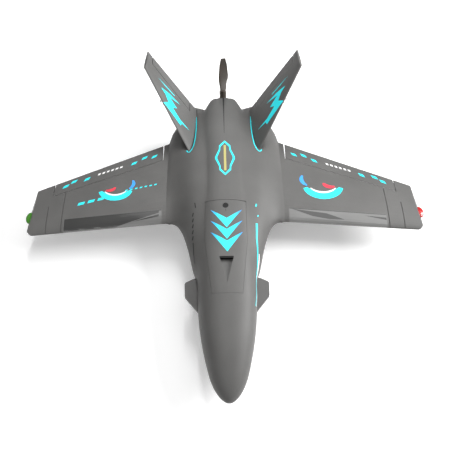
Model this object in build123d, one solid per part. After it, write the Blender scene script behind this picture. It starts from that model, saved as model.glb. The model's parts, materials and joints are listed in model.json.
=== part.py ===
from build123d import *
import math
import os

# Foam radio-controlled aeroplane with a pusher propeller, canards and two canted fins.
# Millimetres. +Z up, nose towards -Y, port side towards +X.
# The origin is on the ground below the middle of the aircraft's box.

# ---- overall ----
SPAN = 845.0
LENGTH = 732.0
NOSE_Y = -LENGTH / 2
TAIL_Y = LENGTH / 2
WING_Z = 85.0
FIT = 0.3  # clearance round a part that drops into a foam pocket

# ---- fuselage: station y, half width, lowest z, widest z, highest z, upper and lower fullness ----
STATIONS = (
    (NOSE_Y, 4.0, 71.0, 75.0, 79.0, 2.0, 2.0),
    (-361.0, 12.5, 65.5, 75.0, 85.5, 2.0, 2.0),
    (-351.0, 21.5, 58.5, 75.0, 92.0, 2.1, 2.1),
    (-330.0, 32.7, 48.0, 75.0, 101.0, 2.3, 2.2),
    (-300.0, 41.5, 36.0, 75.0, 109.0, 2.4, 2.4),
    (-255.0, 51.0, 23.0, 76.0, 117.5, 2.5, 2.6),
    (-208.0, 57.0, 13.5, 77.0, 123.0, 2.6, 3.0),
    (-150.0, 61.5, 7.0, 78.0, 128.0, 2.6, 3.3),
    (-90.0, 64.5, 5.0, 79.0, 131.5, 2.6, 3.5),
    (0.0, 67.0, 5.0, 80.0, 135.0, 2.5, 3.5),
    (70.0, 67.0, 6.5, 82.0, 135.5, 2.4, 3.2),
    (140.0, 65.5, 20.0, 87.0, 134.5, 2.3, 2.8),
    (210.0, 62.0, 44.0, 95.0, 133.0, 2.3, 2.5),
    (265.0, 55.5, 67.0, 103.0, 131.5, 2.4, 2.4),
    (300.0, 44.0, 82.0, 108.0, 130.5, 2.7, 2.5),
    (324.0, 31.0, 89.0, 109.5, 130.0, 3.0, 2.8),
)
SECTION_POINTS = 24
WALL = 11.0
CAVITY_Y = (-226.0, 214.0)

# ---- wing root and tail deck: x, leading y, trailing y, leading z, trailing z, thickness, edge ----
ROOT_X = 128.0
FAIRING = (
    (40.0, -150.0, 303.0, 82.0, 106.0, 56.0, 12.0),
    (68.0, -123.0, 312.0, 82.0, 106.0, 48.0, 12.0),
    (80.0, -65.0, 302.0, 84.0, 105.0, 42.0, 11.0),
    (93.0, -24.0, 288.0, 85.0, 101.0, 36.0, 9.0),
    (104.0, -5.0, 276.0, 85.0, 97.0, 30.0, 7.0),
    (115.0, 3.0, 264.0, 85.0, 92.0, 26.0, 5.0),
    (ROOT_X, 7.0, 222.0, 85.0, 85.0, 24.0, 3.0),
)
AIRFOIL_POINTS = 16
CAMBER = 0.015

# ---- outer wing ----
WING_END_X = 414.0
WING_LE_ROOT = 7.0
WING_LE_SLOPE = -25.0 / 286.0
WING_TE_ROOT = 222.0
WING_TE_SLOPE = -127.0 / 285.0
WING_THICK = (24.0, 12.0)
WING_EDGE = (3.0, 2.4)
TIP_CUT = ((414.5, 95.0), (422.5, 0.0))
TIP_CORNER = 2.0  # how far the rounded corner starts outside the end cut
TIP_LEAN = 35.0
TIP_ROUND = 17.0
TIP_MARGIN = 4.0  # spare space round the outline that trims the tip
GROOVE_X = 350.0
GROOVE_WIDTH = 1.6
GROOVE_DEPTH = 1.6
SHORT_GROOVE_X = 382.0
SHORT_GROOVE_END_Y = 48.0
LONG_GROOVE_END_Y = 89.0
LIGHT_X = 421.0
LIGHT_Y = 26.0
LIGHT_SIZE = (9.0, 14.0, 4.5)

# ---- leading edge guard: its span, and how far back it reaches above and below ----
GUARD_X = (137.0, 345.0)
GUARD_BACK = (29.0, 14.0)
GUARD_THICK = 1.0
GUARD_POINTS = 10

# ---- hinges of the moving surfaces ----
HINGE_DEPTH = 0.3
HINGE_GAP = 1.2
HINGE_REACH = 60.0
BEVEL = 28.0
SURFACE_RANGE = 22.0
AILERON_X = (139.0, 378.5)
AILERON_HINGE_Y = (171.0, 77.7)
AILERON_END_GAPS = (2.6, 1.8)

# ---- fin: middle of its root chord, and its tip's offset from there ----
FIN_ROOT = (74.5, 242.0, 115.0)
FIN_TIP_OFFSET = (95.1, 98.0, 120.0)
FIN_TOE = 4.8
FIN_ROOT_CHORD = 130.5
FIN_TIP_CHORD = 52.0
FIN_THICK = (11.0, 7.5)
FIN_EDGE = (2.6, 2.0)
FIN_BURIED = 12.0
RUDDER_S = (15.0, 144.0)
RUDDER_CHORD = (27.0, 22.0)
RUDDER_END_GAP = 2.2

# ---- canard ----
CANARD_Z = 80.0
CANARD_THICK = 8.0
CANARD_PLAN = (
    (30.0, -181.0),
    (57.0, -195.0),
    (84.5, -161.4),
    (85.5, -131.5),
    (68.5, -123.0),
    (30.0, -115.0),
)
CANARD_TIP_X = 80.0  # corners outside this are rounded
CANARD_ROUND = 5.5

# ---- linkages ----
ROD_RADIUS = 0.8
ROD_SIDE = 3.4
PLATE = 1.6
PLATE_SIDE = 0.4
SERVO_SHAFT = 2.4
PIN_CLEARANCE = 0.05
OPEN_CLEARANCE = 0.3

# ---- spars: place, half length and radius ----
SPAR_Z = WING_Z + 1.0
MAIN_SPAR_Y = 68.0
MAIN_SPAR_HALF = 260.0
MAIN_SPAR_RADIUS = 4.0
MAIN_SPAR_BORE = 3.0
REAR_SPAR_Y = 140.0
REAR_SPAR_HALF = 180.0
REAR_SPAR_RADIUS = 2.0

# ---- propulsion ----
SHAFT_Z = 109.5
PROP_Y = 358.3
PROP_RADIUS = 109.0
PROP_PITCH = 127.0
BLADE = (  # radius, chord and thickness
    (6.0, 14.5, 5.0),
    (14.0, 17.0, 4.5),
    (29.0, 21.0, 4.0),
    (45.0, 24.0, 3.4),
    (60.0, 23.0, 3.0),
    (80.0, 19.5, 2.4),
    (95.0, 16.0, 2.0),
    (PROP_RADIUS, 11.0, 1.5),
)
BLADE_FLATNESS = 0.8
BLADE_EDGE = 0.6
BLADE_CAMBER = 0.04
BLADE_AXIS = 0.45  # share of the chord that lies on the blade's middle line
ROOT_TWIST_RADIUS = 32.0  # the blade's twist stops growing inside this radius
HUB_RADIUS = 8.5
HUB_LENGTH = 8.4
MOTOR_RADIUS = 14.0
MOTOR_BAY_RADIUS = 16.0
MOUNT_Y = 293.0
SCREW_CIRCLE = 8.5
VENT_CIRCLE = 8.6
VENT_RADIUS = 2.2
SHAFT_RADIUS = 2.5
SHAFT_LENGTH = 46.0
ADAPTER_Y = 322.0
ADAPTER_RADIUS = 8.0
STUD_RADIUS = 3.0
NUT_RADIUS = 5.6

# ---- hatch ----
HATCH_Y = (-172.0, 34.0)
HATCH_HALF_WIDTH = (30.0, 43.0)
HATCH_BEND_Y = -60.0  # the hatch's sides run parallel behind this
HATCH_SPACE_Z = (88.0, 160.0)
HATCH_GAP = 0.35
HATCH_LEAN = 3.5
KNOB_Y = 20.0
KNOB_RADIUS = 6.0
SLOT_Y = -98.0
SLOT_HALF_WIDTH = 14.5
SLOT_SKIN_Z = 131.0
RAMP_START_Y = -152.0
RAMP_DEPTH = 10.0
RAMP_START_DEPTH = 3.6
THROAT_Y = (SLOT_Y + 10.0, SLOT_Y + 24.0)
CUT_HALF = 60.0  # half the width of a cut that runs right across the hatch
SLOT_LIP = 2.5
LIP_DEPTH = 1.2
KNOB_TOP = 135.0
KNOB_HEIGHT = 3.8
KNOB_SLOT = (1.6, 1.2)  # width and depth
STEM_RADIUS = 2.0
STEM_CLEARANCE = 0.08
CAM_Z = 121.0
CAM_SIZE = (24.0, 9.0, 2.5)
CAM_TAIL = 5.0  # how far the cam reaches behind its stem
MAGNET_X = 26.0
MAGNET_Z = 126.0
MAGNET_SIZE = (3.0, 3.0)  # radius and thickness

# ---- belly and bay ----
SKID_Y = (-135.0, 75.0)
SKID_HALF_WIDTH = 26.0
SKID_CORNER = (8.0, 14.0)
SKID_BLOCK = 9.0  # height of the block that the skid is cut from
SKID_CHAMFER = 1.6
TRAY_TOP = 23.0
BATTERY = ((-17.5, 17.5), (-182.0, -76.0), (TRAY_TOP, TRAY_TOP + 27.0))
STRAP_THICK = 1.5
STRAP_HALF_WIDTH = 10.0
TRAY = ((-27.0, 27.0), (-190.0, -50.0))
SHELF_TOP = 42.0
SHELF_THICK = 3.0
SHELF = ((-80.0, 80.0), (34.0, 150.0))
CONTROLLER = ((-30.0, -4.0), (60.0, 112.0), (SHELF_TOP, SHELF_TOP + 11.0))
RECEIVER = ((8.0, 30.0), (64.0, 104.0), (SHELF_TOP, SHELF_TOP + 13.0))


def save(name, shape):
    """Writes one sub-part as parts/NAME.step."""
    export_step(shape, f"parts/{name}.step")


def mirrored(shape):
    return mirror(shape, about=Plane.YZ)


def save_pair(name, port_shape):
    """Writes a port piece and its mirror image on the starboard side."""
    save(f"{name}_port", port_shape)
    save(f"{name}_starboard", mirrored(port_shape))


def block(x, y, z):
    """A box from three (low, high) pairs."""
    middle = Pos((x[0] + x[1]) / 2, (y[0] + y[1]) / 2, (z[0] + z[1]) / 2)
    return middle * Box(x[1] - x[0], y[1] - y[0], z[1] - z[0])


def prism(points, low, high):
    """A vertical prism over a plan outline."""
    outline = make_face(Polyline(*[(x, y, low) for x, y in points], close=True))
    return extrude(outline, amount=high - low, dir=(0, 0, 1))


def between(pair, share):
    return pair[0] + (pair[1] - pair[0]) * share


# ---- sections ----
def superellipse(y, half, low, middle, high, up, down, inset=0.0):
    """A fuselage cross section at station y, drawn inset from the outer skin."""
    half, low, high = half - inset, low + inset, high - inset
    points = []
    for i in range(SECTION_POINTS):
        angle = 2 * math.pi * i / SECTION_POINTS
        c, s = math.cos(angle), math.sin(angle)
        fullness = up if s >= 0 else down
        height = high - middle if s >= 0 else middle - low
        x = math.copysign(half * abs(c) ** (2 / fullness), c)
        z = middle + math.copysign(height * abs(s) ** (2 / fullness), s)
        points.append((x, y, z))
    return Face(Wire([Spline(*points, periodic=True)]))


def half_thickness(share, thick, edge):
    """Half the thickness of a foil at a share of its chord, with a blunt trailing edge."""
    curve = (
        0.2969 * math.sqrt(share)
        - 0.1260 * share
        - 0.3516 * share**2
        + 0.2843 * share**3
        - 0.1036 * share**4
    )
    return thick / 2 * curve / 0.1 + edge / 2 * share


def foil_outline(chord, thick, edge, camber=CAMBER):
    """(along chord, across chord) points: the upper row from the edge to the nose, then the lower row."""
    rows = []
    for side in (1, -1):
        row = []
        for i in range(AIRFOIL_POINTS + 1):
            share = 1 - math.cos(math.pi / 2 * i / AIRFOIL_POINTS)
            rise = camber * chord * 4 * share * (1 - share)
            row.append((share * chord, rise + side * half_thickness(share, thick, edge)))
        rows.append(row)
    upper, lower = rows
    return upper[::-1], lower


def foil_section(outline, place):
    """A closed foil section with a blunt trailing edge."""
    upper, lower = outline
    return make_face(Polyline(*[place(*point) for point in upper + lower[1:]], close=True))


def foil_face(x, lead, trail, lead_z, trail_z, thick, edge):
    """A foil section in the plane at x, its chord line running from (lead, lead_z) to (trail, trail_z)."""
    chord = trail - lead
    rise = (trail_z - lead_z) / chord
    outline = foil_outline(chord, thick, edge)
    return foil_section(outline, lambda a, b: (x, lead + a, lead_z + rise * a + b))


# ---- outer wing numbers ----
def wing_share(x):
    return (x - ROOT_X) / (WING_END_X - ROOT_X)


def wing_lead(x):
    return WING_LE_ROOT + (x - ROOT_X) * WING_LE_SLOPE


def wing_trail(x):
    return WING_TE_ROOT + (x - ROOT_X) * WING_TE_SLOPE


def wing_sizes(x):
    """Chord, thickness and trailing edge thickness of the wing at x."""
    share = wing_share(x)
    return wing_trail(x) - wing_lead(x), between(WING_THICK, share), between(WING_EDGE, share)


def wing_skin(x, y, side=1):
    """Height of the wing's top skin, or of its bottom skin for side -1."""
    chord, thick, edge = wing_sizes(x)
    share = (y - wing_lead(x)) / chord
    camber = CAMBER * chord * 4 * share * (1 - share)
    return WING_Z + camber + side * half_thickness(share, thick, edge)


def wing_section(x):
    _, thick, edge = wing_sizes(x)
    return foil_face(x, wing_lead(x), wing_trail(x), WING_Z, WING_Z, thick, edge)


# ---- fin numbers: its plane holds the chord direction and the span direction ----
def fin_axes():
    """Unit vectors along the fin's chord, up its span and outwards through it, and its span."""
    toe = math.radians(FIN_TOE)
    chordwise = Vector(-math.sin(toe), math.cos(toe), 0)
    offset = Vector(*FIN_TIP_OFFSET)
    rise = offset - chordwise * offset.dot(chordwise)
    spanwise = rise.normalized()
    return chordwise, spanwise, spanwise.cross(chordwise) * -1, rise.length


def fin_point(c, s, n=0.0):
    chordwise, spanwise, outwards, _ = fin_axes()
    return Vector(*FIN_ROOT) + chordwise * c + spanwise * s + outwards * n


def fin_sizes(s):
    """Leading edge position, chord, thickness and trailing edge thickness of the fin at span s."""
    chordwise, _, _, span = fin_axes()
    share = s / span
    chord = between((FIN_ROOT_CHORD, FIN_TIP_CHORD), share)
    middle = Vector(*FIN_TIP_OFFSET).dot(chordwise) * share
    return middle - chord / 2, chord, between(FIN_THICK, share), between(FIN_EDGE, share)


def fin_section(s):
    lead, chord, thick, edge = fin_sizes(s)
    outline = foil_outline(chord, thick, edge, camber=0.0)
    return foil_section(outline, lambda a, b: fin_point(lead + a, s, b))


# ---- hinges: origin at the inner end, axis outwards, aft, and into the bevelled side ----
class Hinge:
    def __init__(self, inner, outer, inward):
        self.inner = inner
        self.outer = outer
        self.along = (outer - inner).normalized()
        aft = inward.cross(self.along)
        self.aft = (aft * (1 if aft.Y > 0 else -1)).normalized()
        into = self.along.cross(self.aft)
        self.into = into * (1 if into.dot(inward) > 0 else -1)

    def at(self, distance, aft=0.0, deep=0.0, side=0.0):
        """A point beside the hinge, at a distance from its inner end."""
        return self.inner + self.along * (distance + side) + self.aft * aft + self.into * deep


def aileron_hinge():
    """The aileron's hinge line, just under the wing's top skin."""
    ends = [
        Vector(x, y, wing_skin(x, y) - HINGE_DEPTH) for x, y in zip(AILERON_X, AILERON_HINGE_Y)
    ]
    return Hinge(ends[0], ends[1], Vector(0, 0, -1))


def rudder_hinge():
    """The ruddervator's hinge line, just under the fin's inner skin."""
    ends = []
    for s, flap in zip(RUDDER_S, RUDDER_CHORD):
        lead, chord, thick, edge = fin_sizes(s)
        half = half_thickness(1 - flap / chord, thick, edge)
        ends.append(fin_point(lead + chord - flap, s, HINGE_DEPTH - half))
    return Hinge(ends[0], ends[1], fin_axes()[2])


def hinge_prism(hinge, outline, start, length):
    """A prism along a hinge over an outline of (aft, deep) points."""
    corners = [hinge.at(start, aft, deep) for aft, deep in outline]
    face = make_face(Polyline(*corners, close=True))
    return extrude(face, amount=length, dir=hinge.along)


def flap_and_opening(hinge, slab, flap_slab):
    """The space that the moving surface takes, and the larger space cut from its panel."""
    length = (hinge.outer - hinge.inner).length
    lean = HINGE_REACH * math.tan(math.radians(BEVEL))
    moving = ((0, -HINGE_REACH), (0, 0), (lean, HINGE_REACH), (150, HINGE_REACH), (150, -HINGE_REACH))
    fixed = (
        (-HINGE_GAP, -HINGE_REACH),
        (-HINGE_GAP, HINGE_REACH),
        (150, HINGE_REACH),
        (150, -HINGE_REACH),
    )
    start, run = -HINGE_REACH, length + 2 * HINGE_REACH
    flap = hinge_prism(hinge, moving, start, run) & flap_slab
    opening = hinge_prism(hinge, fixed, start, run) & slab
    return flap, opening


# ---- linkage: a servo whose arm, rod and horn make a parallelogram with the hinge ----
def rod_between(start, end, radius):
    run = end - start
    return Solid.make_cylinder(radius, run.length, Plane(origin=start, z_dir=run))


def wire_rod(points, radius):
    """A bent wire: straight runs with round corners."""
    wire = rod_between(points[0], points[1], radius)
    for start, end in zip(points[1:], points[2:]):
        wire = wire + Pos(*start) * Sphere(radius) + rod_between(start, end, radius)
    return wire


def plate(hinge, distance, outline, side, thick):
    """A flat plate at right angles to the hinge over an outline of (aft, deep) points."""
    corners = [hinge.at(distance, aft, deep, side) for aft, deep in outline]
    return extrude(make_face(Polyline(*corners, close=True)), amount=thick, dir=hinge.along)


def disc(hinge, distance, aft, deep, side, thick, radius):
    frame = Plane(origin=hinge.at(distance, aft, deep, side), z_dir=hinge.along)
    return Solid.make_cylinder(radius, thick, frame)


def servo_arm(hinge, place):
    """The arm on the servo's output, as long as the horn."""
    d, aft, deep, reach = place.distance, -place.rod, place.axis_depth, place.arm
    outline = ((aft - 3.2, deep), (aft + 3.2, deep), (aft + 2.0, deep + reach), (aft - 2.0, deep + reach))
    arm = plate(hinge, d, outline, PLATE_SIDE, PLATE)
    arm = arm + disc(hinge, d, aft, deep, PLATE_SIDE, PLATE, 4.0)
    arm = arm + disc(hinge, d, aft, deep + reach, PLATE_SIDE, PLATE, 2.0)
    arm = arm - disc(hinge, d, aft, deep, PLATE_SIDE - 1, PLATE + 2, SERVO_SHAFT + PIN_CLEARANCE)
    return arm - disc(
        hinge, d, aft, deep + reach, PLATE_SIDE - 1, PLATE + 2, ROD_RADIUS + PIN_CLEARANCE
    )


def control_horn(hinge, place):
    """The horn's plate: its foot sits in the moving surface and its eye is below the hinge."""
    skin, reach = place.horn_foot, place.arm
    outline = (
        (6.5, skin - 2.5),
        (18.0, skin - 2.5),
        (18.0, skin + 0.8),
        (2.3, reach + 1.2),
        (-2.3, reach),
        (-1.6, reach - 1.8),
        (6.5, skin + 0.8),
    )
    horn = plate(hinge, place.distance, outline, PLATE_SIDE, PLATE)
    horn = horn + disc(hinge, place.distance, 0, reach, PLATE_SIDE, PLATE, 2.5)
    return horn - disc(
        hinge, place.distance, 0, reach, PLATE_SIDE - 1, PLATE + 2, ROD_RADIUS + OPEN_CLEARANCE
    )


def pushrod(hinge, place):
    """A wire bent at both ends, through the arm's eye and the horn's eye."""
    arm_eye = (-place.rod, place.axis_depth + place.arm)
    horn_eye = (0, place.arm)
    spots = [(arm_eye, -0.6), (arm_eye, ROD_SIDE), (horn_eye, ROD_SIDE), (horn_eye, -0.6)]
    points = [hinge.at(place.distance, aft, deep, side) for (aft, deep), side in spots]
    return wire_rod(points, ROD_RADIUS)


def servo_block(hinge, place, grow=0.0, open_to=0.0):
    """The servo's box, with its output near the aft end, grown for its pocket."""
    long, deep, tall = place.servo
    aft, axis = -place.rod, place.axis_depth
    front, back = aft - long * 0.74 - grow, aft + long * 0.26 + grow
    top, bottom = axis - deep / 2 - grow, axis + deep / 2 + grow + open_to
    outline = ((front, top), (back, top), (back, bottom), (front, bottom))
    corners = [hinge.at(place.distance, a, q, -1.6 - tall - grow) for a, q in outline]
    return extrude(make_face(Polyline(*corners, close=True)), amount=tall + 2 * grow, dir=hinge.along)


def servo(hinge, place):
    """Case, raised gear boss and output shaft."""
    case = servo_block(hinge, place)
    aft, deep = -place.rod, place.axis_depth
    boss = disc(hinge, place.distance, aft, deep, -1.6, 1.6, place.servo[1] / 2 - 0.4)
    shaft = disc(hinge, place.distance, aft, deep, -1.6, 1.6 + PLATE_SIDE + PLATE, SERVO_SHAFT)
    return case + boss + shaft


def servo_pocket(hinge, place):
    """The case's recess and the trench that the arm swings in, open on the bevelled side."""
    pocket = servo_block(hinge, place, grow=FIT, open_to=30)
    aft, axis = -place.rod, place.axis_depth
    reach = place.arm * math.sin(math.radians(SURFACE_RANGE)) + 3.5
    top = axis - place.servo[1] / 2 - FIT
    outline = ((aft - reach, top), (aft + reach, top), (aft + reach, axis + 40), (aft - reach, axis + 40))
    trench = plate(hinge, place.distance, outline, -2.0, 2.0 + ROD_SIDE + 2.2)
    return pocket + trench


class Place:
    """Where a linkage sits along its hinge, and its sizes."""

    def __init__(self, distance, rod, arm, axis_depth, horn_foot, servo_size):
        self.distance = distance
        self.rod = rod
        self.arm = arm
        self.axis_depth = axis_depth
        self.horn_foot = horn_foot
        self.servo = servo_size


AILERON_LINK = Place(104.0, 46.0, 20.0, 7.0, 9.0, (23.0, 12.0, 22.0))
RUDDER_LINK = Place(62.0, 36.0, 16.0, 5.6, 6.6, (20.0, 8.5, 17.0))


# ---- foam airframe ----
def fuselage_skin():
    return loft([superellipse(*station) for station in STATIONS])


def fuselage_cavity():
    rows = [s for s in STATIONS if CAVITY_Y[0] < s[0] < CAVITY_Y[1]]
    return loft([superellipse(*station, inset=WALL) for station in rows])


def fairing():
    """The wing root and tail deck, blending the wing into the fuselage."""
    return loft([foil_face(*row) for row in FAIRING], ruled=True)


def wing_blank():
    return loft([wing_section(ROOT_X), wing_section(SPAN / 2 + 10)], ruled=True)


def tip_trim():
    """The space outside the wing tip: a leaning end cut, with the leading corner rounded off."""
    (rear_x, rear_y), (front_x, front_y) = TIP_CUT
    outline = [
        (ROOT_X - TIP_MARGIN, wing_lead(ROOT_X) - 0.6),
        (front_x + TIP_CORNER, wing_lead(front_x) - 0.6),
        (rear_x + TIP_MARGIN, rear_y + TIP_MARGIN),
        (ROOT_X - TIP_MARGIN, wing_trail(ROOT_X) + TIP_MARGIN),
    ]
    plan = make_face(Polyline(*outline, close=True))
    corner = plan.vertices().sort_by(Axis.X)[-1]
    keep = extrude(fillet(corner, TIP_ROUND), amount=80, dir=(0, 0, 1))
    run = Vector(front_x - rear_x, front_y - rear_y, 0).normalized()
    outwards = Vector(-run.Y, run.X, 0) * (1 if -run.Y > 0 else -1)
    lean = math.radians(TIP_LEAN)
    normal = outwards * math.cos(lean) + Vector(0, 0, math.sin(lean))
    cut = Plane(origin=(rear_x, rear_y, WING_Z), x_dir=run, z_dir=normal) * Pos(0, 0, 50) * Box(400, 200, 100)
    return Pos(0, 0, WING_Z - 40) * keep, cut


def nose_row(x, back, side):
    """Points of the wing's skin at x, from its nose to a distance back."""
    row = []
    for i in range(GUARD_POINTS + 1):
        y = wing_lead(x) + back * (i / GUARD_POINTS) ** 2
        row.append((y, wing_skin(x, y, side)))
    return row


def guard_blank():
    """A C-shaped shell that follows the wing's nose, thick enough outwards to cut with."""
    faces = []
    for x in GUARD_X:
        upper, lower = nose_row(x, GUARD_BACK[0], 1), nose_row(x, GUARD_BACK[1], -1)
        nose = upper[::-1] + lower[1:]
        outer, inner = offset_points(nose, 3.0), offset_points(nose, -GUARD_THICK)
        faces.append(make_face(Polyline(*[(x, y, z) for y, z in outer + inner[::-1]], close=True)))
    return loft(faces, ruled=True)


def offset_points(points, distance):
    """The points moved out (or in, for a negative distance) at right angles to their curve."""
    moved = []
    for i, (a, b) in enumerate(points):
        before, after = points[max(i - 1, 0)], points[min(i + 1, len(points) - 1)]
        run = (after[0] - before[0], after[1] - before[1])
        length = math.hypot(*run)
        moved.append((a + run[1] / length * distance, b - run[0] / length * distance))
    return moved


def wing_parts():
    """Port wing, aileron, leading edge guard and tip light."""
    keep, cut = tip_trim()
    wing = (wing_blank() & keep) - cut
    hinge = aileron_hinge()
    (inner_x, outer_x), (inner_gap, outer_gap) = AILERON_X, AILERON_END_GAPS
    slab = block((inner_x, outer_x), (0, 300), (0, 200))
    flap_slab = block((inner_x + inner_gap, outer_x - outer_gap), (0, 300), (0, 200))
    flap, opening = flap_and_opening(hinge, slab, flap_slab)
    aileron = wing & flap
    wing = wing - opening
    guard_shape = guard_blank()
    guard = wing & guard_shape
    wing = wing - guard_shape
    wing = wing - servo_pocket(hinge, AILERON_LINK) - wing_grooves()
    aileron = aileron - control_horn(hinge, AILERON_LINK)
    light = tip_light()
    wing = wing - light
    return wing, aileron, guard, light


def wing_grooves():
    """Two chordwise panel grooves pressed into the wing's top skin near the tip."""
    grooves = None
    for x, back in ((GROOVE_X, LONG_GROOVE_END_Y), (SHORT_GROOVE_X, SHORT_GROOVE_END_Y)):
        rows = []
        for i in range(9):
            y = wing_lead(x) + 1.2 + (back - wing_lead(x) - 1.2) * (i / 8) ** 1.5
            rows.append((x, y, wing_skin(x, y)))
        top = [(px, py, pz + 4) for px, py, pz in rows]
        floor = [(px, py, pz - GROOVE_DEPTH) for px, py, pz in rows]
        side = make_face(Polyline(*top, *floor[::-1], close=True))
        cut = Pos(-GROOVE_WIDTH / 2, 0, 0) * extrude(side, amount=GROOVE_WIDTH, dir=(1, 0, 0))
        grooves = cut if grooves is None else grooves + cut
    return grooves


def tip_light():
    """A clear dome over the tip lamp, let into the wing tip."""
    lens = scale(Sphere(1.0), by=LIGHT_SIZE)
    return Pos(LIGHT_X, LIGHT_Y, WING_Z) * lens


def fin_parts():
    """Port fin, ruddervator, and the whole fin's shape that the fuselage is cut with."""
    blank = loft([fin_section(-FIN_BURIED), fin_section(fin_axes()[3])], ruled=True)
    hinge = rudder_hinge()
    low, high = RUDDER_S
    slab = fin_slab(low, high)
    flap_slab = fin_slab(low + RUDDER_END_GAP, high - RUDDER_END_GAP)
    flap, opening = flap_and_opening(hinge, slab, flap_slab)
    rudder = (blank & flap) - control_horn(hinge, RUDDER_LINK)
    fin = blank - opening - servo_pocket(hinge, RUDDER_LINK)
    return fin, rudder, blank


def fin_slab(low, high):
    """The space between two span positions of the fin."""
    chordwise, spanwise, _, _ = fin_axes()
    frame = Plane(origin=fin_point(0, (low + high) / 2), x_dir=chordwise, z_dir=spanwise)
    return frame * Box(500, 200, high - low)


def canard():
    """A swept foam foreplane, buried in the fuselage side at its root."""
    plan = make_face(Polyline(*CANARD_PLAN, close=True))
    tips = [v for v in plan.vertices() if v.X > CANARD_TIP_X]
    slab = extrude(fillet(tips, CANARD_ROUND), amount=CANARD_THICK, dir=(0, 0, 1))
    return Pos(0, 0, CANARD_Z - CANARD_THICK / 2) * slab


def hatch_outline(gap=0.0):
    """The hatch in plan, wider at the back than at the front."""
    (front, rear), (narrow, wide) = HATCH_Y, HATCH_HALF_WIDTH
    return [
        (-narrow + gap, front + gap),
        (narrow - gap, front + gap),
        (wide - gap, HATCH_BEND_Y),
        (wide - gap, rear - gap),
        (-wide + gap, rear - gap),
        (-wide + gap, HATCH_BEND_Y),
    ]


def hatch_bevel():
    """The wedge taken off the hatch's rear face, so that its lower edge clears the rim as it tips up."""
    rear, behind = HATCH_Y[1] - HATCH_GAP, HATCH_Y[1] + 10
    side = [(rear, 140), (behind, 140), (behind, 90), (rear - HATCH_LEAN, 90)]
    face = make_face(Polyline(*[(-CUT_HALF, y, z) for y, z in side], close=True))
    return extrude(face, amount=2 * CUT_HALF, dir=(1, 0, 0))


def air_inlet():
    """The ramp that widens and deepens aft, and the slot that it leads into."""
    top = 160.0
    lip = SLOT_Y + SLOT_LIP
    plan = [(0, RAMP_START_Y), (SLOT_HALF_WIDTH, lip), (-SLOT_HALF_WIDTH, lip)]
    wedge = prism(plan, 60, top)
    skin = SLOT_SKIN_Z
    slope = make_face(
        Polyline(
            (-CUT_HALF, RAMP_START_Y, skin - RAMP_START_DEPTH),
            (-CUT_HALF, lip, skin - RAMP_DEPTH),
            (-CUT_HALF, lip, top),
            (-CUT_HALF, RAMP_START_Y, top),
            close=True,
        )
    )
    ramp = wedge & extrude(slope, amount=2 * CUT_HALF, dir=(1, 0, 0))
    mouth = block(
        (-SLOT_HALF_WIDTH, SLOT_HALF_WIDTH),
        (SLOT_Y - 0.5, THROAT_Y[1]),
        (skin - RAMP_DEPTH, skin - LIP_DEPTH),
    )
    throat = block((-SLOT_HALF_WIDTH, SLOT_HALF_WIDTH), THROAT_Y, (100, skin - LIP_DEPTH))
    return ramp + mouth + throat


def body_parts():
    """The two glued fuselage halves and the hatch, hollowed and cut for what they hold."""
    skin = fuselage_skin()
    root = fairing()
    body = skin + root + mirrored(root)
    cavity = fuselage_cavity()
    hatch_space = prism(hatch_outline(), *HATCH_SPACE_Z)
    hatch = (skin & prism(hatch_outline(HATCH_GAP), *HATCH_SPACE_Z)) - cavity - air_inlet()
    hatch = hatch - latch_hole() - hatch_bevel()
    body = body - hatch_space - cavity - motor_bay() - spar_holes()
    return body, hatch, skin, cavity


def latch_hole():
    """A counterbore for the knob and a through hole for its stem."""
    well, floor = 40, KNOB_TOP - KNOB_HEIGHT - 0.2
    top = Pos(0, KNOB_Y, floor + well / 2) * Cylinder(KNOB_RADIUS + FIT, well)
    stem = Pos(0, KNOB_Y, CAM_Z) * Cylinder(STEM_RADIUS + STEM_CLEARANCE, 60)
    return top + stem


def latch_parts():
    """The slotted knob with its stem, and the cam under the hatch's inner skin."""
    knob = Pos(0, KNOB_Y, KNOB_TOP - KNOB_HEIGHT / 2) * Cylinder(KNOB_RADIUS, KNOB_HEIGHT)
    slot_width, slot_depth = KNOB_SLOT
    knob = knob - Pos(0, KNOB_Y, KNOB_TOP) * Box(slot_width, 2 * KNOB_RADIUS + 1, 2 * slot_depth)
    stem_length = KNOB_TOP - KNOB_HEIGHT - CAM_Z
    stem = Pos(0, KNOB_Y, CAM_Z + stem_length / 2) * Cylinder(STEM_RADIUS, stem_length)
    long, _, thick = CAM_SIZE
    cam = Pos(long / 2 - CAM_TAIL, KNOB_Y, CAM_Z - thick / 2) * Box(*CAM_SIZE)
    return knob + stem, cam


def along_y(y, radius, length, x=0.0, z=SHAFT_Z):
    """A cylinder lying along Y, from y aft."""
    return Solid.make_cylinder(radius, length, Plane(origin=(x, y, z), z_dir=(0, 1, 0)))


def motor_bay():
    """The bore that the motor sits in, open at the tail, and the wiring way ahead of it."""
    return along_y(MOUNT_Y, MOTOR_BAY_RADIUS, 60) + along_y(200, 8, 100)


def across_x(y, radius, half):
    """A cylinder lying along X at the spars' height, as long on each side."""
    return Solid.make_cylinder(radius, 2 * half, Plane(origin=(-half, y, SPAR_Z), z_dir=(1, 0, 0)))


def spars():
    """The main tube and the thinner rear rod, both through the fuselage into the wings."""
    main = across_x(MAIN_SPAR_Y, MAIN_SPAR_RADIUS, MAIN_SPAR_HALF)
    main = main - across_x(MAIN_SPAR_Y, MAIN_SPAR_BORE, MAIN_SPAR_HALF)
    return main, across_x(REAR_SPAR_Y, REAR_SPAR_RADIUS, REAR_SPAR_HALF)


def spar_holes():
    main = across_x(MAIN_SPAR_Y, MAIN_SPAR_RADIUS, MAIN_SPAR_HALF)
    return main + across_x(REAR_SPAR_Y, REAR_SPAR_RADIUS, REAR_SPAR_HALF)


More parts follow.
